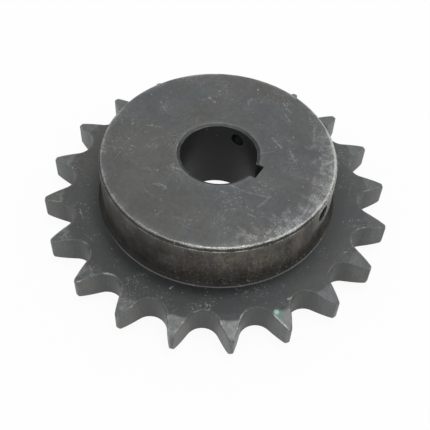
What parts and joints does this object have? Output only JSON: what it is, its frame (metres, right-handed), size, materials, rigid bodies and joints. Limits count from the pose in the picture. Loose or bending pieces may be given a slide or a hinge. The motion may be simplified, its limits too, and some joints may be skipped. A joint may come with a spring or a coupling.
{
  "type": "chain sprocket",
  "caption": "Steel roller-chain sprocket with a hub on one side, a keyed bore and tapped set-screw holes.",
  "frame": {"origin": "on the bore axis, at the flat back face of the toothed disc, which the part rests on", "axes": "+Z along the bore axis, from the back face towards the hub; +X through the middle of the keyway and of one tooth"},
  "size_m": [0.1318, 0.1318, 0.0325],
  "materials": {
    "blackened_steel": "black oxide on turned steel, matt, worn bright along the rims and tooth edges"
  },
  "bodies": {
    "root": {"sprocket": "blackened_steel"}
  },
  "joints": []
}
